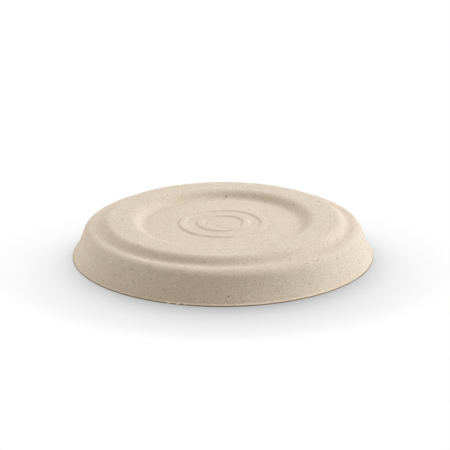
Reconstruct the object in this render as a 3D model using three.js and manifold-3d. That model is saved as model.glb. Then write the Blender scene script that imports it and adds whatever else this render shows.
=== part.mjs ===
// A sauce cup lid pressed from plant-fibre pulp, in millimetres, +Z up.
// It is one thin wall of even thickness: a round panel sunk into a raised ring-shaped land,
// a ledge that sits over the cup's rim, and a skirt that flares out to a small trimmed lip.
// The origin is the centre of the circle on which the lip stands.

import * as THREE from "three";
import { mergeVertices } from "three/addons/utils/BufferGeometryUtils.js";
import Module from "manifold-3d";

// Overall size
const RIM_RADIUS = 34; // outer edge of the lip
const HEIGHT = 8.84; // from the lip's foot to the top of the land
const WALL = 0.65; // pressed pulp, even all over

// Lip: a narrow shelf around the foot of the skirt, left by the trimming cut
const LIP_WIDTH = 0.4;
const LIP_EDGE = 0.32; // height of the cut edge
const LIP_RISE = 0.16; // how much higher the shelf is where it leaves the skirt

// Skirt: a steep wall above, and a flare below that carries it out to the lip
const FLARE_HEIGHT = 2.7;
const FLARE_REACH = 1.5;
const FLARE_BLEND = 28;
const SKIRT_DRAFT = 19.6; // degrees from upright

// Ledge over the cup's rim
const LEDGE_DROP = 1.7; // below the land
const LEDGE_WIDTH = 2.95; // from the shoulder's corner to the riser's foot
const SHOULDER_FILLET = 2.3;

// Land: the raised ring
const LAND_WIDTH = 6.33;
const RISER_SLOPE = 46; // degrees from level
const RISER_FOOT_FILLET = 1.7;
const RISER_BROW_FILLET = 1.9;

// Panel: the sunk round field in the middle
const PANEL_DROP = 1.75; // from the land down to the panel's edge
const PANEL_CROWN = 0.42; // how much higher the panel's middle is than its edge
const PANEL_WALL_SLOPE = 45; // degrees from level
const PANEL_BROW_FILLET = 2.4;
const PANEL_FOOT_FILLET = 2.5;

// Pressed beads: low rings that stiffen the panel
const BEAD_RADII = [5.2, 9.2]; // of the middle of each bead's crest
const BEAD_WIDTH = 2.2;
const BEAD_CREST = 0.9; // width of its level top
const BEAD_RELIEF = 0.3;

// Facets
const TURN_SEGMENTS = 64;
const ARC_STEP = 15; // degrees of bend for each facet of a fillet
const SIDE_SHARE = 0.98; // how much of a side the fillets at its two ends may take
const SAME_POINT = 1e-4; // corners nearer than this are one corner

const PULP = new THREE.MeshStandardMaterial({ color: 0xdcccb4, roughness: 0.92, metalness: 0 });

const wasm = await Module();
wasm.setup();

const tangent = (degrees) => Math.tan(THREE.MathUtils.degToRad(degrees));

// The outer profile's corners before rounding, from the axis out to the lip.
// Each holds [radius, height, fillet].
function outerCorners() {
  const ledgeHeight = HEIGHT - LEDGE_DROP;
  const panelHeight = HEIGHT - PANEL_DROP;
  const flareRadius = RIM_RADIUS - FLARE_REACH;
  const shoulderRadius = flareRadius - (ledgeHeight - FLARE_HEIGHT) * tangent(SKIRT_DRAFT);
  const riserFoot = shoulderRadius - LEDGE_WIDTH;
  const landOuter = riserFoot - LEDGE_DROP / tangent(RISER_SLOPE);
  const landInner = landOuter - LAND_WIDTH;
  const panelRadius = landInner - PANEL_DROP / tangent(PANEL_WALL_SLOPE);
  return [
    [0, panelHeight, 0],
    [panelRadius, panelHeight, PANEL_FOOT_FILLET],
    [landInner, HEIGHT, PANEL_BROW_FILLET],
    [landOuter, HEIGHT, RISER_BROW_FILLET],
    [riserFoot, ledgeHeight, RISER_FOOT_FILLET],
    [shoulderRadius, ledgeHeight, SHOULDER_FILLET],
    [flareRadius, FLARE_HEIGHT, FLARE_BLEND],
    [RIM_RADIUS - LIP_WIDTH, LIP_EDGE + LIP_RISE, 0],
  ];
}

// Rounds each corner of a line with an arc that touches both of its sides.
// A fillet takes at most its own share of a side, so that neighbours on one side never cross.
function rounded(corners) {
  const points = corners.map(([r, z]) => new THREE.Vector2(r, z));
  const line = [points[0]];
  for (let i = 1; i < points.length - 1; i++) {
    const back = points[i - 1].clone().sub(points[i]);
    const ahead = points[i + 1].clone().sub(points[i]);
    const bend = Math.PI - Math.abs(back.angleTo(ahead));
    const reach = (k) => corners[k][2] * Math.tan(turnAt(points, k) / 2);
    const wanted = reach(i);
    const share = (side, k) => Math.min(1, (SIDE_SHARE * side.length()) / (wanted + reach(k)));
    const touch = wanted * Math.min(share(back, i - 1), share(ahead, i + 1));
    const radius = touch / Math.tan(bend / 2);
    const start = points[i].clone().addScaledVector(back.normalize(), touch);
    const end = points[i].clone().addScaledVector(ahead.normalize(), touch);
    const middle = back.clone().add(ahead).normalize();
    const centre = points[i].clone().addScaledVector(middle, radius / Math.cos(bend / 2));
    const steps = Math.max(2, Math.ceil(THREE.MathUtils.radToDeg(bend) / ARC_STEP));
    const from = start.clone().sub(centre);
    const swing = Math.sign(from.cross(end.clone().sub(centre))) * bend;
    for (let k = 0; k <= steps; k++) {
      const spoke = from.clone().rotateAround(new THREE.Vector2(), (swing * k) / steps);
      line.push(centre.clone().add(spoke));
    }
  }
  line.push(points[points.length - 1]);
  return line;
}

// How much higher the crowned panel is at a radius than at its edge: a parabola around the axis.
function crownAt(radius) {
  const edge = outerCorners()[1][0];
  return PANEL_CROWN * Math.max(0, 1 - (radius / edge) ** 2);
}

// The beads' corners above the panel's level, each [radius, relief].
function beadCorners() {
  return BEAD_RADII.flatMap((radius) => [
    [radius - BEAD_WIDTH / 2, 0],
    [radius - BEAD_CREST / 2, BEAD_RELIEF],
    [radius + BEAD_CREST / 2, BEAD_RELIEF],
    [radius + BEAD_WIDTH / 2, 0],
  ]);
}

// The same line with the beads and the crown given to its level start, the panel.
function pressed(line) {
  const [middle, edge] = line;
  const beads = beadCorners().map(([r, relief]) => new THREE.Vector2(r, middle.y + relief));
  const beside = beads[beads.length - 1].clone().lerp(edge, 0.5);
  return [middle, ...beads, beside, ...line.slice(1)].map(
    (point) => new THREE.Vector2(point.x, point.y + crownAt(point.x)),
  );
}

// How far a line turns at its point k, in radians. Its two ends don't turn.
function turnAt(points, k) {
  if (k <= 0 || k >= points.length - 1) return 0;
  const back = points[k - 1].clone().sub(points[k]);
  const ahead = points[k + 1].clone().sub(points[k]);
  return Math.PI - Math.abs(back.angleTo(ahead));
}

// The same line moved inwards by the wall's thickness, square to the line at each point.
function insetLine(line) {
  return line.map((point, i) => {
    const before = line[Math.max(i - 1, 0)];
    const after = line[Math.min(i + 1, line.length - 1)];
    const along = after.clone().sub(before).normalize();
    if (point.x === 0) along.set(1, 0); // on the axis the wall is level
    return point.clone().add(new THREE.Vector2(along.y, -along.x).multiplyScalar(WALL));
  });
}

// The wall's whole section: out along the top, round the lip and back along the underside.
function wallSection() {
  const outer = pressed(rounded(outerCorners()));
  const inner = insetLine(outer);
  // The underside's last two points give the slope on which it runs down to the foot.
  const [above, below] = [inner[inner.length - 2], inner.pop()];
  const footRadius = above.x + (above.y * (below.x - above.x)) / (above.y - below.y);
  const lip = [
    new THREE.Vector2(RIM_RADIUS, LIP_EDGE),
    new THREE.Vector2(RIM_RADIUS, 0),
    new THREE.Vector2(footRadius, 0),
  ];
  return [...outer, ...lip, ...inner.reverse()];
}

// A closed three.js geometry as a solid, with its seams welded.
function solidFrom(geometry) {
  const bare = geometry.index ? geometry.toNonIndexed() : geometry.clone();
  bare.deleteAttribute("normal");
  bare.deleteAttribute("uv");
  const merged = mergeVertices(bare, SAME_POINT);
  return new wasm.Manifold(
    new wasm.Mesh({
      numProp: 3,
      vertProperties: merged.attributes.position.array,
      triVerts: new Uint32Array(merged.index.array),
    }),
  );
}

// A solid back as a three.js geometry.
function geometryFrom(solid) {
  const mesh = solid.getMesh();
  const geometry = new THREE.BufferGeometry();
  geometry.setAttribute("position", new THREE.BufferAttribute(mesh.vertProperties, mesh.numProp));
  geometry.setIndex(new THREE.BufferAttribute(mesh.triVerts, 1));
  geometry.computeVertexNormals();
  return geometry;
}

// The lid: the wall's section turned around the Z axis.
function lidGeometry() {
  const geometry = new THREE.LatheGeometry(wallSection().reverse(), TURN_SEGMENTS);
  geometry.rotateX(Math.PI / 2);
  return geometryFrom(solidFrom(geometry));
}

const lid = new THREE.Mesh(lidGeometry(), PULP);
lid.name = "lid";

const part = new THREE.Group();
part.add(lid);

export default part;
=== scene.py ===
"""A sauce cup lid pressed from plant-fibre pulp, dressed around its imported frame.

The lid is one closed shell: rings of points around the Z axis, from the middle of the panel out over
the land, the ledge and the skirt, round the trimmed lip and back along the underside.
Lengths are in metres. Azimuths, elevations and rolls are in degrees, and an azimuth of 0 is the
camera's side, 90 the right.
"""

import bpy
import numpy as np
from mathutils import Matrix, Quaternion, Vector


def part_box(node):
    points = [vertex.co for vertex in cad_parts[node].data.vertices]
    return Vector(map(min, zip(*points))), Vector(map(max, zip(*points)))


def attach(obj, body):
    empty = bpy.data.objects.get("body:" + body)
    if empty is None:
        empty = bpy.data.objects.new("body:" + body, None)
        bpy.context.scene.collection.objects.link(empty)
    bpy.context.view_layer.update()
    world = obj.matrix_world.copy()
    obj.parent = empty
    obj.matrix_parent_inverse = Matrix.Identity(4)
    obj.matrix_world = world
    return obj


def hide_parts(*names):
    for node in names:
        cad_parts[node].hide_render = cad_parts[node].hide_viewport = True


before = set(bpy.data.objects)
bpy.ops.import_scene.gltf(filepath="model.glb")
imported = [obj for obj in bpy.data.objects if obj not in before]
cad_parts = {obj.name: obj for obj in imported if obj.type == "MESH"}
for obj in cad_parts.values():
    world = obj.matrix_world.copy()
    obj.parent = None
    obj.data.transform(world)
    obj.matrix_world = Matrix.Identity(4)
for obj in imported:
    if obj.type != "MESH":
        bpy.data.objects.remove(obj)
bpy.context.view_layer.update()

MM = 0.001

# Overall size, from the frame
RIM_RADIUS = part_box("lid")[1].x
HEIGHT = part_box("lid")[1].z
WALL = 0.65 * MM

# Lip: a narrow shelf around the foot of the skirt, with the edge that the trimming cut left
LIP_WIDTH = 0.4 * MM
LIP_EDGE = 0.32 * MM
LIP_RISE = 0.16 * MM
LIP_FOLD_FILLET = 0.25 * MM
LIP_TOP_FILLET = 0.09 * MM
LIP_FOOT_FILLET = 0.05 * MM
CUT_INSET = LIP_TOP_FILLET / 2  # how far inside the rim the cut's brown and painted shade start
CUT_BELOW = LIP_TOP_FILLET / 4  # how far below the top of the edge it starts
CUT_FOOT = 2 * WALL  # how far in from the rim it covers the foot

# Skirt: a steep wall above, and a flare below that carries it out to the lip
FLARE_HEIGHT = 2.7 * MM
FLARE_REACH = 1.5 * MM
FLARE_BLEND = 28 * MM
SKIRT_DRAFT = np.radians(19.6)

# Ledge over the cup's rim
LEDGE_DROP = 1.7 * MM
LEDGE_WIDTH = 2.95 * MM
SHOULDER_FILLET = 2.3 * MM

# Land: the raised ring
LAND_WIDTH = 6.33 * MM
RISER_SLOPE = np.radians(46)
RISER_FOOT_FILLET = 1.7 * MM
RISER_BROW_FILLET = 1.9 * MM

# Panel: the sunk round field in the middle
PANEL_DROP = 1.75 * MM
PANEL_CROWN = 0.42 * MM  # how much higher the middle of the panel is than its edge
PANEL_WALL_SLOPE = np.radians(45)
PANEL_BROW_FILLET = 2.4 * MM
PANEL_FOOT_FILLET = 2.5 * MM

# Pressed beads: low rings that stiffen the panel
BEAD_RADII = (5.2 * MM, 9.2 * MM)  # of the middle of each bead's crest
BEAD_WIDTH = 2.2 * MM
BEAD_CREST = 0.9 * MM  # width of its level top
BEAD_RELIEF = 0.3 * MM

# Points of the shell
COLUMNS = 360
COLUMNS_CLOSER = 6  # how many times closer together the columns are at a tuft
COLUMNS_REACH = 0.7 * MM  # how far that reaches along the lip
COLUMN_SAMPLES = 20  # places for each column at which their closeness is worked out
SECTION_STEP = 0.02 * MM
FOOT_POINTS = 40  # the underside's last points, among which it reaches the foot's level
SIDE_SHARE = 0.98  # how much of a side the fillets at its two ends may take
RING_PITCH = 0.42 * MM
RING_PITCH_BEADS = 0.17 * MM
RING_PITCH_LIP = 0.06 * MM
RING_PITCH_UNDER = 0.7 * MM
RING_EASE = 25  # the pitch changes over this many steps of the section to either side
UNDER_SHARE = 0.5  # the underside has this share of the outside's rings at the beads
LIP_ZONE_WIDTH = 3 * LIP_WIDTH  # the lip's closer rings start this far in from the rim
LIP_ZONE_HEIGHT = 2 * LIP_EDGE  # and end this far above the foot

# Unevenness of the pressed sheet: (size of a swell, how far it lifts the surface)
SWELLS = ((9 * MM, 0.030 * MM), (2.6 * MM, 0.012 * MM))
SWELL_FADE = 2.5 * MM  # the swells die out over this height above the foot
RAGGED_SIZE = 1.2 * MM
RAGGED_DEPTH = 0.03 * MM  # how far the cut edge draws back at most
SEED = 7

# Tufts of fibre that the trimming cut left on the lip: (azimuth in degrees, width, how far out)
TUFTS = (
    (-20.2, 0.26 * MM, 0.14 * MM),
    (-16.6, 0.20 * MM, 0.30 * MM),
    (-13.9, 0.18 * MM, 0.06 * MM),
)
TUFT_FULL = 0.12 * MM  # a tuft that reaches out less than this has a fainter painted highlight, in proportion

# Pulp colours, linear
PULP_COLOUR = (0.735, 0.65, 0.542)
PULP_DEEP = (0.565, 0.475, 0.365)
PULP_PALE = (0.91, 0.838, 0.735)
SPECK_COLOUR = (0.2, 0.085, 0.03)
# The cut edge's brown, made darker still as painted shade where the lip meets the paper
CUT_BROWN_AND_SHADE = (0.37, 0.268, 0.165)
# The tufts' painted highlight: near white, so that they look lit
TUFT_HIGHLIGHT = (0.95, 0.91, 0.84)

# Grain of the pulp: (size, noise detail, share of the way from PULP_COLOUR to its deep or pale
# neighbour, lift of the surface)
CLOUDS = (7 * MM, 2.0, 0.10, 0)
LEATHER = (1.5 * MM, 2.0, 0.06, 0.010 * MM)
TOOTH = (0.25 * MM, 2.0, 0.72, 0.008 * MM)
GRAIN_GAIN = 4.0  # spreads the noise, which keeps near its middle, over -1 to 1

# Specks: (lattice cell, radius, share of the cells that hold one, darkness)
SPECKS = (
    (0.75 * MM, 0.14 * MM, 0.5, 0.60),
    (1.35 * MM, 0.18 * MM, 0.6, 0.95),
    (4.00 * MM, 0.26 * MM, 0.8, 1.00),
)
SPECK_CORE = 0.6  # share of the radius within which a speck is at its darkest
SPECK_FAINTEST = 0.4  # the faintest speck has this share of the darkness
SPECK_RAGGED = (0.3 * MM, 0.35 * MM)  # size of the wobbles of its edge, and how far they pull it
FLECKS = (4.5 * MM, 0.24 * MM, 0.6, 0.35)
FLECK_SHAPE = (0.3, 0.8, 1.0)  # a fleck is drawn out along each axis by 1 over this

# Loose fibres: (size of their curls, width as a step of the noise, how many are kept)
FIBRES = (2.2 * MM, 0.012, 0.45)
FIBRE_CORE = 0.3  # share of the width that is at full strength
FIBRE_ENDS = 0.04  # how gently a fibre starts and ends
FIBRE_SHIFT = (0.31, 0.17, 0.23)  # from the noise that draws the fibres to the noise that picks them

# Print of the forming screen
SCREEN_PITCH = 0.8 * MM  # from one wire to the next
SCREEN_WAY = (0.95, 0.32)  # the way along which they follow each other
SCREEN_CROSS = 1 / 3  # strength of the wires that run across
SCREEN_PATCH = 5 * MM  # the print comes and goes over stretches of this size
SCREEN_PATCH_RANGE = (-0.4, 0.6)  # the patch noise at which it is absent, and full

# What the patterns do: to the colour, and how far they lift the surface
FIBRE_TONE = 0.35
FIBRE_LIFT = 0.015 * MM
SCREEN_TONE = 0.03
SCREEN_LIFT = 0.002 * MM
SPECK_LIFT = -0.008 * MM
ROUGHNESS = 0.88
ROUGHNESS_SWING = 0.05
SHEEN = 0.25  # Principled's Specular IOR Level

# Camera
CAMERA_DISTANCE = 614.6 * MM
CAMERA_ELEVATION = 19.52
CAMERA_ROLL = -0.153
CAMERA_AIM = Vector((0.48 * MM, 0, 7.0 * MM))
CAMERA_LENS = 216.97  # millimetres, on a sensor 36 mm wide
CAMERA_CLIP = (0.01, 50)

# Softboxes: (name, azimuth, elevation, watts, colour)
SOFTBOXES = (
    ("key", 110, 38, 7.5, (1, 1, 1)),
    ("right", 100, 15, 0.9, (1, 1, 1)),
    ("front_right", 72, 15, 2.3, (1, 0.95, 0.87)),
    ("back_left", 225, 15, 4.0, (1, 0.93, 0.90)),
    ("left", 270, 15, 2.0, (0.8, 0.95, 1)),
    ("top", 0, 90, 2.6, (0.72, 0.8, 1)),
    ("upper_left", 240, 62, 1.0, (0.7, 0.8, 1)),
    ("front_left", 305, 60, 2.0, (1, 0.66, 0.12)),
)
SOFTBOX_DISTANCE = 1.0
SOFTBOX_WIDTH = 0.6

# Paper, and the lid's shade on it
STAGE_SIZE = 6.0
PAPER_COLOUR = 0.8  # for the light that it sends back onto the lid
SHADE_TILT = 50  # degrees from upright, towards the back: where the light over the paper comes from
SHADE_REACH = 22 * MM
SHADE_SAMPLES = 32
SHADE_DEPTH = 1.13
SHADE_DARKEST = 0.48  # where the paper meets the lip
SHADE_EASE = 0.2  # how gently the shade nears its darkest


def unit(vectors):
    """Each row of an array divided by its length."""
    return vectors / np.linalg.norm(vectors, axis=-1, keepdims=True)


def smooth(t):
    """3 t^2 - 2 t^3 with t cut to 0..1: a step with soft ends."""
    t = np.clip(t, 0, 1)
    return t * t * (3 - 2 * t)


def outer_corners():
    """The outer line's corners before rounding, each (radius, height, fillet)."""
    ledge_height = HEIGHT - LEDGE_DROP
    panel_height = HEIGHT - PANEL_DROP
    flare_radius = RIM_RADIUS - FLARE_REACH
    shoulder_radius = flare_radius - (ledge_height - FLARE_HEIGHT) * np.tan(SKIRT_DRAFT)
    riser_foot = shoulder_radius - LEDGE_WIDTH
    land_outer = riser_foot - LEDGE_DROP / np.tan(RISER_SLOPE)
    land_inner = land_outer - LAND_WIDTH
    panel_radius = land_inner - PANEL_DROP / np.tan(PANEL_WALL_SLOPE)
    return [
        (0, panel_height, 0),
        (panel_radius, panel_height, PANEL_FOOT_FILLET),
        (land_inner, HEIGHT, PANEL_BROW_FILLET),
        (land_outer, HEIGHT, RISER_BROW_FILLET),
        (riser_foot, ledge_height, RISER_FOOT_FILLET),
        (shoulder_radius, ledge_height, SHOULDER_FILLET),
        (flare_radius, FLARE_HEIGHT, FLARE_BLEND),
        (RIM_RADIUS - LIP_WIDTH, LIP_EDGE + LIP_RISE, 0),
    ]


def rounded_line(corners):
    """Straight sides with an arc at each corner, as an array of points (radius, height).

    Where the line turns by the angle t, the arc touches both sides at fillet * tan(t / 2) from the
    corner, or nearer where two arcs share a short side. Its points are
    start + r (sin a, along the first side) + r (1 - cos a, square to it), with a from 0 to t.
    """
    points = np.array([corner[:2] for corner in corners])
    fillets = np.array([corner[2] for corner in corners])
    sides = np.diff(points, axis=0)
    lengths = np.linalg.norm(sides, axis=1)
    along = unit(sides)
    across = np.stack([-along[:, 1], along[:, 0]], axis=1)
    turns = np.arctan2((across[:-1] * along[1:]).sum(1), (along[:-1] * along[1:]).sum(1))
    touch = np.pad(fillets[1:-1] * np.tan(np.abs(turns) / 2), 1)
    share = np.minimum(1, SIDE_SHARE * lengths / np.maximum(touch[:-1] + touch[1:], SECTION_STEP))
    touch[1:-1] *= np.minimum(share[:-1], share[1:])
    pieces = [points[:1]]
    for i, turn in enumerate(turns):
        reach = touch[i + 1]
        radius = reach / np.tan(abs(turn) / 2)
        steps = max(2, int(np.ceil(radius * abs(turn) / SECTION_STEP)))
        a = np.linspace(0, abs(turn), steps)[:, None]
        start = points[i + 1] - along[i] * reach
        arc = start + radius * (np.sin(a) * along[i] + (1 - np.cos(a)) * np.sign(turn) * across[i])
        pieces.append(arc if reach else points[i + 1 : i + 2])
    pieces.append(points[-1:])
    return evenly(np.concatenate(pieces))


def evenly(line):
    """The same line with its points spread evenly along it, about SECTION_STEP apart."""
    run = np.concatenate([[0], np.cumsum(np.linalg.norm(np.diff(line, axis=0), axis=1))])
    places = np.linspace(0, run[-1], int(round(run[-1] / SECTION_STEP)) + 1)
    return np.stack([np.interp(places, run, line[:, 0]), np.interp(places, run, line[:, 1])], axis=1)


def outward(line):
    """Unit vectors square to a line, to the left of its run: (-dz, dr) / length."""
    along = unit(np.gradient(line, axis=0))
    return np.stack([-along[:, 1], along[:, 0]], axis=1)


def wall_section():
    """The shell's section from the axis over the top, round the lip and back to the axis.

    The underside is the outer line moved in by WALL, square to the line at each point.
    Returns the points and, for each, 0 on the outside and 1 on the underside.
    """
    corners = outer_corners()
    skirt_end = corners[-1][:2]
    top = rounded_line(corners)
    top[:, 1] += PANEL_CROWN * np.maximum(1 - (top[:, 0] / corners[1][0]) ** 2, 0)
    under = top - WALL * outward(top)
    last = under[-FOOT_POINTS:]
    foot = np.array([np.interp(0, -last[:, 1], last[:, 0]), 0])
    above_foot = under[under[:, 1] > WALL]
    lip = rounded_line(
        [
            (*top[-int(LIP_WIDTH / SECTION_STEP)], 0),
            (*skirt_end, LIP_FOLD_FILLET),
            (RIM_RADIUS, LIP_EDGE, LIP_TOP_FILLET),
            (RIM_RADIUS, 0, LIP_FOOT_FILLET),
            (*foot, LIP_FOOT_FILLET),
            (*above_foot[-1], 0),
        ]
    )
    line = np.concatenate([top[: -int(LIP_WIDTH / SECTION_STEP)], lip, above_foot[-2::-1]])
    line[[0, -1], 0] = 0
    is_under = np.zeros(len(line))
    is_under[len(line) - len(above_foot) :] = 1
    return line, is_under


def ring_places(line, is_under):
    """Where along the section the rings go: closer together at the beads and at the lip.

    The rings are even steps of the running sum of 1 / pitch, evened out over a short window.
    """
    radius, height = line.T
    pitch = np.where(is_under > 0.5, RING_PITCH_UNDER, RING_PITCH)
    at_beads = (radius > BEAD_RADII[0] - BEAD_WIDTH) & (radius < BEAD_RADII[-1] + BEAD_WIDTH)
    pitch = np.where(at_beads, RING_PITCH_BEADS / np.where(is_under > 0.5, UNDER_SHARE, 1), pitch)
    at_lip = (radius > RIM_RADIUS - LIP_ZONE_WIDTH) & (height < LIP_ZONE_HEIGHT)
    pitch = np.where(at_lip, RING_PITCH_LIP, pitch)
    window = 2 * RING_EASE + 1
    pace = np.convolve(np.pad(1 / pitch, RING_EASE, mode="edge"), np.ones(window) / window, mode="valid")
    count = np.concatenate([[0], np.cumsum((pace[1:] + pace[:-1]) / 2 * SECTION_STEP)])
    wanted = np.linspace(0, count[-1], int(round(count[-1])) + 1)
    return np.interp(wanted, count, np.arange(len(line)))


def at_places(values, places):
    """An array's rows at fractional places between them."""
    values = values.reshape(len(values), -1)
    index = np.arange(len(values))
    return np.stack([np.interp(places, index, column) for column in values.T], axis=1)


def bead_lift(radius):
    """How far the beads lift the sheet at a radius: a soft step up to each crest and down again."""
    side = (BEAD_WIDTH - BEAD_CREST) / 2
    from_foot = [BEAD_WIDTH / 2 - np.abs(radius - middle) for middle in BEAD_RADII]
    return BEAD_RELIEF * sum(smooth(distance / side) for distance in from_foot)


def swell(points, size, rng):
    """Soft unevenness from -1 to 1: random values on a lattice of the given pitch, blended smoothly.

    The value is the sum over a cell's eight corners of corner value * wx * wy * wz, where each weight
    is a soft step of the distance along that axis.
    """
    cells = (points - points.min(0)) / size
    base = np.floor(cells).astype(int)
    part = smooth(cells - base)
    lattice = rng.uniform(-1, 1, base.max(0) + 2)
    total = np.zeros(len(points))
    for corner in np.ndindex(2, 2, 2):
        weight = np.prod(np.where(corner, part, 1 - part), axis=1)
        total += weight * lattice[tuple((base + corner).T)]
    return total


def tuft_gap(angle, azimuth):
    """How far along the lip each angle is from a tuft."""
    return np.angle(np.exp(1j * (angle - np.radians(azimuth - 90)))) * RIM_RADIUS


def tuft_weight(angle):
    """How far out each place of the lip is a tuft, and how strongly it takes the tufts' painted highlight.

    Both are bell curves, exp(-(gap / width)^2 / 2), added up over the tufts.
    """
    reach, weight = np.zeros_like(angle), np.zeros_like(angle)
    for azimuth, width, out in TUFTS:
        bell = np.exp(-((tuft_gap(angle, azimuth) / width) ** 2) / 2)
        reach += out * bell
        weight += bell * min(1, out / TUFT_FULL)
    return reach, np.clip(weight, 0, 1)


def column_angles():
    """The columns' angles around the axis, closer together at the tufts.

    The columns are even steps of the running sum of the pace, which is 1, or more near a tuft.
    """
    fine = np.linspace(0, 2 * np.pi, COLUMN_SAMPLES * COLUMNS + 1)
    near = sum(np.exp(-((tuft_gap(fine, azimuth) / COLUMNS_REACH) ** 2) / 2) for azimuth, _, _ in TUFTS)
    pace = 1 + (COLUMNS_CLOSER - 1) * np.minimum(near, 1)
    count = np.concatenate([[0], np.cumsum((pace[1:] + pace[:-1]) / 2)])
    return np.interp(np.arange(COLUMNS) / COLUMNS * count[-1], count, fine)


def swollen(flat, push, under, around, rng):
    """The sheet's points with its soft swells and its beads.

    The section's points (r, z), turned to (r cos a, r sin a, z), move along the section's normal by the
    sum of the swells, on both faces of the wall the same way. The beads lift both faces alike.
    """
    place = np.column_stack([flat[:, :1] * around, flat[:, 1]])
    lift = sum(height * swell(place, size, rng) for size, height in SWELLS)
    lift *= smooth(flat[:, 1] / SWELL_FADE)
    side = np.where(under > 0.5, -1, 1)
    place += np.column_stack([push[:, :1] * around, push[:, 1]]) * (lift * side)[:, None]
    place[:, 2] += bead_lift(np.hypot(place[:, 0], place[:, 1]))
    return place


def trimmed(place, flat, angle, around, rng):
    """Draws the lip's edge back raggedly and out at the tufts.

    Returns the masks of the cut face, for its brown and painted shade, and of the tufts, for their painted
    highlight.
    """
    low = smooth((LIP_EDGE + LIP_RISE - flat[:, 1]) / LIP_RISE) * (flat[:, 0] > RIM_RADIUS - LIP_WIDTH)
    ragged = RAGGED_DEPTH * swell(place, RAGGED_SIZE, rng)
    reach, tuft = tuft_weight(angle)
    place[:, :2] += around * (low * (np.minimum(ragged, 0) + reach))[:, None]
    out_face = (flat[:, 0] > RIM_RADIUS - CUT_INSET) & (flat[:, 1] < LIP_EDGE - CUT_BELOW)
    foot_face = (flat[:, 1] < LIP_FOOT_FILLET) & (flat[:, 0] > RIM_RADIUS - CUT_FOOT)
    return np.where(out_face | foot_face, 1.0, 0.0) * (1 - tuft), tuft * low


def lid_shell():
    """The lid as a grid, ring after ring, with each point's place on the flat sheet and its masks.

    The place on the sheet is the run along the section from the middle, in the column's direction.
    """
    rng = np.random.default_rng(SEED)
    line, is_under = wall_section()
    places = ring_places(line, is_under)
    flat = np.repeat(at_places(line, places), COLUMNS, axis=0)
    push = np.repeat(at_places(outward(line), places), COLUMNS, axis=0)
    under = np.repeat(at_places(is_under, places)[:, 0], COLUMNS)
    run = np.repeat(places * SECTION_STEP, COLUMNS)
    angle = np.tile(column_angles(), len(places))
    around = np.stack([np.cos(angle), np.sin(angle)], axis=1)

    place = swollen(flat, push, under, around, rng)
    cut, tuft = trimmed(place, flat, angle, around, rng)
    sheet = np.where(under > 0.5, run[-1] - run, run)[:, None] * around
    return place, sheet, cut, tuft, len(places)


def closed_mesh(name, place, ring_count):
    """A mesh from rings of points, with the first and the last ring drawn together into one point.

    Returns it with the rows of the points that it keeps.
    """
    keep = np.r_[0, COLUMNS : (ring_count - 1) * COLUMNS, (ring_count - 1) * COLUMNS]
    column = np.arange(COLUMNS)
    after = (column + 1) % COLUMNS
    ring = 1 + COLUMNS * np.arange(ring_count - 3)[:, None]
    quads = np.stack(
        [ring + column, ring + COLUMNS + column, ring + COLUMNS + after, ring + after], axis=-1
    ).reshape(-1, 4)
    last = len(keep) - 1
    top = np.stack([np.zeros_like(column), 1 + column, 1 + after], axis=1)
    bottom = np.stack([last - COLUMNS + column, np.full_like(column, last), last - COLUMNS + after], axis=1)
    mesh = bpy.data.meshes.new(name)
    mesh.from_pydata(place[keep].tolist(), [], top.tolist() + quads.tolist() + bottom.tolist())
    mesh.shade_smooth()
    return mesh, keep


def lid():
    """The pressed lid, in place of its plain solid."""
    place, sheet, cut, tuft, ring_count = lid_shell()
    mesh, keep = closed_mesh("pressed_lid", place, ring_count)
    layer = mesh.uv_layers.new(name="sheet")
    loops = np.empty(len(mesh.loops), dtype=np.int32)
    mesh.loops.foreach_get("vertex_index", loops)
    layer.uv.foreach_set("vector", sheet[keep][loops].ravel())
    # Masks for the cut's brown with painted shade, and for the tufts' painted highlight
    for name, values in (("cut", cut), ("tuft", tuft)):
        mesh.attributes.new(name, "FLOAT", "POINT").data.foreach_set("value", values[keep])
    piece = bpy.data.objects.new("pressed_lid", mesh)
    bpy.context.scene.collection.objects.link(piece)
    mesh.materials.append(pulp())
    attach(piece, "root")
    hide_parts("lid")
    return piece


def add(tree, kind, inputs=None, **settings):
    """Adds a node. Each of its inputs, by name or number, takes a value or another node's output."""
    node = tree.nodes.new(kind)
    for name, value in settings.items():
        setattr(node, name, value)
    for key, value in (inputs or {}).items():
        if isinstance(value, bpy.types.NodeSocket):
            tree.links.new(value, node.inputs[key])
        else:
            node.inputs[key].default_value = value
    return node


def calc(tree, operation, *values, clamp=False):
    """A Math node's output."""
    given = dict(enumerate(values))
    return add(tree, "ShaderNodeMath", given, operation=operation, use_clamp=clamp).outputs[0]


def move(tree, operation, *values):
    """A Vector Math node's vector output."""
    return add(tree, "ShaderNodeVectorMath", dict(enumerate(values)), operation=operation).outputs[0]


def ramp(tree, value, low, high):
    """A soft step: 0 where value is at low, 1 where it is at high."""
    inputs = {"Value": value, "From Min": low, "From Max": high}
    return add(tree, "ShaderNodeMapRange", inputs, interpolation_type="SMOOTHSTEP").outputs[0]


def tint(tree, amount, under, over):
    """A colour Mix node's output. Its inputs 6 and 7 and its output 2 are the ones for colours."""
    under, over = (
        colour if isinstance(colour, bpy.types.NodeSocket) else (*colour, 1) for colour in (under, over)
    )
    return add(tree, "ShaderNodeMix", {"Factor": amount, 6: under, 7: over}, data_type="RGBA").outputs[2]


def new_group(name, takes, gives):
    """An empty shader group with named number and vector sockets, and its two end nodes."""
    group = bpy.data.node_groups.new(name, "ShaderNodeTree")
    for label, kind in takes:
        group.interface.new_socket(label, in_out="INPUT", socket_type=kind)
    for label in gives:
        group.interface.new_socket(label, in_out="OUTPUT", socket_type="NodeSocketFloat")
    return group, group.nodes.new("NodeGroupInput").outputs, group.nodes.new("NodeGroupOutput").inputs


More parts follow.
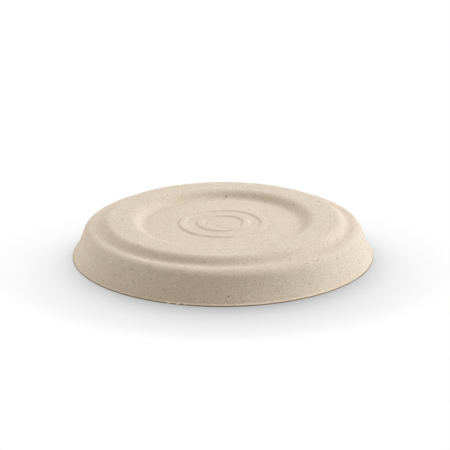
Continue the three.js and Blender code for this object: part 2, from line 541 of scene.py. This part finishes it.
def grain_group():
    """Fine unevenness of the pressed surface: noise of a given size, mostly from -1 to 1."""
    takes = (("Vector", "NodeSocketVector"), ("Size", "NodeSocketFloat"), ("Detail", "NodeSocketFloat"))
    group, given, result = new_group("pulp_grain", takes, ("Height",))
    scale = calc(group, "DIVIDE", 1.0, given["Size"])
    inputs = {"Vector": given["Vector"], "Scale": scale, "Detail": given["Detail"]}
    noise = add(group, "ShaderNodeTexNoise", inputs)
    centred = calc(group, "MULTIPLY_ADD", noise.outputs["Fac"], GRAIN_GAIN, -GRAIN_GAIN / 2)
    group.links.new(centred, result["Height"])
    return group


def speck_group():
    """Scattered specks: a share of the cells of a Voronoi lattice holds one small ragged blot each.

    A cell's colour is its dice: red picks whether it holds a speck, green how dark that is.
    """
    takes = (
        ("Vector", "NodeSocketVector"),
        ("Cell", "NodeSocketFloat"),
        ("Radius", "NodeSocketFloat"),
        ("Share", "NodeSocketFloat"),
    )
    group, given, result = new_group("pulp_specks", takes, ("Mask",))
    size, pull = SPECK_RAGGED
    wobble = add(group, "ShaderNodeTexNoise", {"Vector": given["Vector"], "Scale": 1 / size})
    centred = move(group, "SUBTRACT", wobble.outputs["Color"], (0.5, 0.5, 0.5))
    pulled = move(group, "MULTIPLY_ADD", centred, (pull, pull, pull), given["Vector"])
    scale = calc(group, "DIVIDE", 1.0, given["Cell"])
    cells = add(group, "ShaderNodeTexVoronoi", {"Vector": pulled, "Scale": scale})
    radius = calc(group, "DIVIDE", given["Radius"], given["Cell"])
    near = calc(group, "DIVIDE", cells.outputs["Distance"], radius)
    blot = ramp(group, near, 1.0, SPECK_CORE)
    dice = add(group, "ShaderNodeSeparateColor", {"Color": cells.outputs["Color"]})
    held = calc(group, "LESS_THAN", dice.outputs[0], given["Share"])
    depth = calc(group, "MULTIPLY_ADD", dice.outputs[1], 1 - SPECK_FAINTEST, SPECK_FAINTEST)
    mask = calc(group, "MULTIPLY", calc(group, "MULTIPLY", blot, held), depth)
    group.links.new(mask, result["Mask"])
    return group


def fibre_group():
    """Loose fibres: the thin curved lines where a noise field crosses its middle, cut short.

    They are kept where a second noise, the same but shifted, is above 1 - Share.
    """
    takes = (
        ("Vector", "NodeSocketVector"),
        ("Size", "NodeSocketFloat"),
        ("Width", "NodeSocketFloat"),
        ("Share", "NodeSocketFloat"),
    )
    group, given, result = new_group("pulp_fibres", takes, ("Mask",))
    scale = calc(group, "DIVIDE", 1.0, given["Size"])
    field = add(group, "ShaderNodeTexNoise", {"Vector": given["Vector"], "Scale": scale, "Detail": 1.0})
    away = calc(group, "ABSOLUTE", calc(group, "SUBTRACT", field.outputs["Fac"], 0.5))
    line = ramp(group, calc(group, "DIVIDE", away, given["Width"]), 1.0, FIBRE_CORE)
    shifted = move(group, "ADD", given["Vector"], FIBRE_SHIFT)
    gate = add(group, "ShaderNodeTexNoise", {"Vector": shifted, "Scale": scale, "Detail": 0.0})
    level = calc(group, "SUBTRACT", 1.0, given["Share"])
    held = ramp(group, gate.outputs["Fac"], level, calc(group, "ADD", level, FIBRE_ENDS))
    group.links.new(calc(group, "MULTIPLY", line, held), result["Mask"])
    return group


def screen_group():
    """The print of the forming screen: waves along one way of the flat sheet, and fainter ones across.

    The value is sin(u) + SCREEN_CROSS sin(v), with u and v the run along and across the way times
    2 pi / pitch.
    """
    takes = (("Vector", "NodeSocketVector"), ("Pitch", "NodeSocketFloat"))
    group, given, result = new_group("screen_print", takes, ("Height",))
    pace = calc(group, "DIVIDE", 2 * np.pi, given["Pitch"])
    waves = []
    for way in ((*SCREEN_WAY, 0), (-SCREEN_WAY[1], SCREEN_WAY[0], 0)):
        run = add(group, "ShaderNodeVectorMath", {0: given["Vector"], 1: way}, operation="DOT_PRODUCT")
        waves.append(calc(group, "SINE", calc(group, "MULTIPLY", run.outputs["Value"], pace)))
    group.links.new(calc(group, "MULTIPLY_ADD", waves[1], SCREEN_CROSS, waves[0]), result["Height"])
    return group


def grouped(tree, group, **inputs):
    """A group node's first output."""
    return add(tree, "ShaderNodeGroup", inputs, node_tree=group).outputs[0]


def pulp_specks(tree, where):
    """How dark the specks and the drawn-out flecks make each place: the darkest one counts."""
    group = speck_group()
    drawn = move(tree, "MULTIPLY", where, FLECK_SHAPE)
    kinds = [(where, kind) for kind in SPECKS] + [(drawn, FLECKS)]
    darkest = 0.0
    for vector, (cell, radius, share, darkness) in kinds:
        mask = grouped(tree, group, Vector=vector, Cell=cell, Radius=radius, Share=share)
        darkest = calc(tree, "MAXIMUM", calc(tree, "MULTIPLY", mask, darkness), darkest)
    return darkest


def pulp():
    """Matte moulded pulp: cloudy beige with grain, specks and fibres, browner where the lip was cut.

    The tone is 0 at PULP_COLOUR, 1 at PULP_PALE and -1 at PULP_DEEP. The cut's colour holds painted shade
    besides its brown, and the tufts' colour is a painted highlight.
    """
    material = bpy.data.materials.new("pulp")
    material.use_nodes = True
    tree = material.node_tree
    shader = tree.nodes["Principled BSDF"]
    where = add(tree, "ShaderNodeTexCoord").outputs["Object"]
    sheet = add(tree, "ShaderNodeUVMap", uv_map="sheet").outputs["UV"]
    # The cut mask carries brown with painted shade, the tuft mask a painted highlight
    cut = add(tree, "ShaderNodeAttribute", attribute_name="cut").outputs["Fac"]
    tuft = add(tree, "ShaderNodeAttribute", attribute_name="tuft").outputs["Fac"]

    grain = grain_group()
    tone, height = 0.0, 0.0
    for size, detail, depth, lift in (CLOUDS, LEATHER, TOOTH):
        pattern = grouped(tree, grain, Vector=where, Size=size, Detail=detail)
        tone = calc(tree, "MULTIPLY_ADD", pattern, depth, tone)
        height = calc(tree, "MULTIPLY_ADD", pattern, lift, height)
    size, width, share = FIBRES
    loose = grouped(tree, fibre_group(), Vector=where, Size=size, Width=width, Share=share)
    tone = calc(tree, "MULTIPLY_ADD", loose, FIBRE_TONE, tone)
    patch = grouped(tree, grain, Vector=where, Size=SCREEN_PATCH, Detail=1.0)
    wires = grouped(tree, screen_group(), Vector=sheet, Pitch=SCREEN_PITCH)
    weave = calc(tree, "MULTIPLY", wires, ramp(tree, patch, *SCREEN_PATCH_RANGE))
    tone = calc(tree, "MULTIPLY_ADD", weave, SCREEN_TONE, tone)
    specks = pulp_specks(tree, where)

    colour = tint(tree, calc(tree, "MULTIPLY", tone, 1.0, clamp=True), PULP_COLOUR, PULP_PALE)
    colour = tint(tree, calc(tree, "MULTIPLY", tone, -1.0, clamp=True), colour, PULP_DEEP)
    # The cut edge and the foot: the cut fibre's brown, darkened by painted shade near the paper
    colour = tint(tree, cut, colour, CUT_BROWN_AND_SHADE)
    colour = tint(tree, specks, colour, SPECK_COLOUR)
    # The tufts: a painted highlight
    colour = tint(tree, tuft, colour, TUFT_HIGHLIGHT)
    tree.links.new(colour, shader.inputs["Base Color"])

    for pattern, lift in ((weave, SCREEN_LIFT), (loose, FIBRE_LIFT), (specks, SPECK_LIFT)):
        height = calc(tree, "MULTIPLY_ADD", pattern, lift, height)
    bump = add(tree, "ShaderNodeBump", {"Strength": 1.0, "Distance": 1.0, "Height": height})
    tree.links.new(bump.outputs["Normal"], shader.inputs["Normal"])

    rough = calc(tree, "MULTIPLY_ADD", tone, ROUGHNESS_SWING, ROUGHNESS, clamp=True)
    tree.links.new(rough, shader.inputs["Roughness"])
    shader.inputs["Specular IOR Level"].default_value = SHEEN
    return material


def paper():
    """White paper. For the camera it is plain white, darkened only where the lid shades it.

    With the share s of the light from above and behind that gets past the lid within SHADE_REACH, its
    level is 1 - SHADE_DEPTH (1 - s), and softly no less than SHADE_DARKEST.
    """
    material = bpy.data.materials.new("white_paper")
    material.use_nodes = True
    tree = material.node_tree
    shader = tree.nodes["Principled BSDF"]
    shader.inputs["Roughness"].default_value = 1.0
    shader.inputs["Specular IOR Level"].default_value = 0.0
    seen = add(tree, "ShaderNodeLightPath").outputs["Is Camera Ray"]
    grey = calc(tree, "MULTIPLY_ADD", seen, -PAPER_COLOUR, PAPER_COLOUR)
    tree.links.new(grey, shader.inputs["Base Color"])
    way = dict(enumerate(direction(180, 90 - SHADE_TILT)))
    towards = add(tree, "ShaderNodeCombineXYZ", way).outputs[0]
    inputs = {"Distance": SHADE_REACH, "Normal": towards}
    open_sky = add(tree, "ShaderNodeAmbientOcclusion", inputs, samples=SHADE_SAMPLES)
    shade = calc(tree, "MULTIPLY_ADD", open_sky.outputs["AO"], SHADE_DEPTH, 1 - SHADE_DEPTH)
    shade = calc(tree, "SMOOTH_MAX", shade, SHADE_DARKEST, SHADE_EASE)
    shader.inputs["Emission Color"].default_value = (1, 1, 1, 1)
    tree.links.new(calc(tree, "MULTIPLY", seen, shade, clamp=True), shader.inputs["Emission Strength"])
    return material


def stage():
    """A wide sheet of paper under the lid."""
    half = STAGE_SIZE / 2
    corners = [(-half, -half, 0), (half, -half, 0), (half, half, 0), (-half, half, 0)]
    mesh = bpy.data.meshes.new("table_top")
    mesh.from_pydata(corners, [], [(0, 1, 2, 3)])
    mesh.materials.append(paper())
    floor = bpy.data.objects.new("table_top", mesh)
    bpy.context.scene.collection.objects.link(floor)


def backdrop():
    """Plain white to the camera. It gives no light: that all comes from the softboxes."""
    world = bpy.data.worlds.new("backdrop")
    bpy.context.scene.world = world
    world.use_nodes = True
    tree = world.node_tree
    tree.nodes["Background"].inputs["Color"].default_value = (1, 1, 1, 1)
    seen = add(tree, "ShaderNodeLightPath").outputs["Is Camera Ray"]
    tree.links.new(seen, tree.nodes["Background"].inputs["Strength"])


def direction(azimuth, elevation):
    """The unit vector towards a place around the lid."""
    a, e = np.radians(azimuth), np.radians(elevation)
    return Vector((np.sin(a) * np.cos(e), -np.cos(a) * np.cos(e), np.sin(e)))


def softbox(name, azimuth, elevation, watts, colour):
    """A square lamp that faces the lid."""
    lamp = bpy.data.lights.new(name, "AREA")
    lamp.shape = "SQUARE"
    lamp.size = SOFTBOX_WIDTH
    lamp.energy = watts
    lamp.color = colour
    holder = bpy.data.objects.new(name, lamp)
    way = direction(azimuth, elevation)
    holder.location = way * SOFTBOX_DISTANCE
    holder.rotation_mode = "QUATERNION"
    holder.rotation_quaternion = way.to_track_quat("Z", "Y")
    bpy.context.scene.collection.objects.link(holder)


def camera():
    """A long lens that looks down on the lid from the front."""
    data = bpy.data.cameras.new("camera")
    data.lens = CAMERA_LENS
    data.clip_start, data.clip_end = CAMERA_CLIP
    holder = bpy.data.objects.new("camera", data)
    holder.location = direction(0, CAMERA_ELEVATION) * CAMERA_DISTANCE
    look = (CAMERA_AIM - holder.location).to_track_quat("-Z", "Y")
    holder.rotation_mode = "QUATERNION"
    holder.rotation_quaternion = look @ Quaternion((0, 0, 1), np.radians(CAMERA_ROLL))
    bpy.context.scene.collection.objects.link(holder)
    bpy.context.scene.camera = holder


bpy.context.scene.view_settings.view_transform = "Standard"
camera()
lid()
stage()
backdrop()
for lamp in SOFTBOXES:
    softbox(*lamp)
